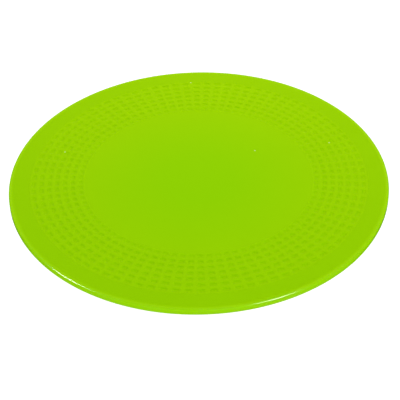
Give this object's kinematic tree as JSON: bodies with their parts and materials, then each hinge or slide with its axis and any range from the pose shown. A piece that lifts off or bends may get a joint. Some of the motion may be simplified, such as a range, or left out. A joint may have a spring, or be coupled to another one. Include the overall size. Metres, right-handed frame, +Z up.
{
  "type": "flying disc",
  "caption": "Flat-topped flying disc for catch games: a stiff plate with a pocketed grip band inside a moulded rim with a finger wall underneath.",
  "frame": {"origin": "on the resting surface, under the centre of the disc", "axes": "+Z up along the disc's axis, towards the flat top; the rim's foot stands on Z = 0"},
  "size_m": [0.254, 0.254, 0.0102],
  "materials": {
    "plate_lime": "satin moulded plastic",
    "rim_lime": "smooth soft moulded elastomer, low gloss"
  },
  "bodies": {
    "root": {"flight_plate": "plate_lime", "rim": "rim_lime"}
  },
  "joints": []
}
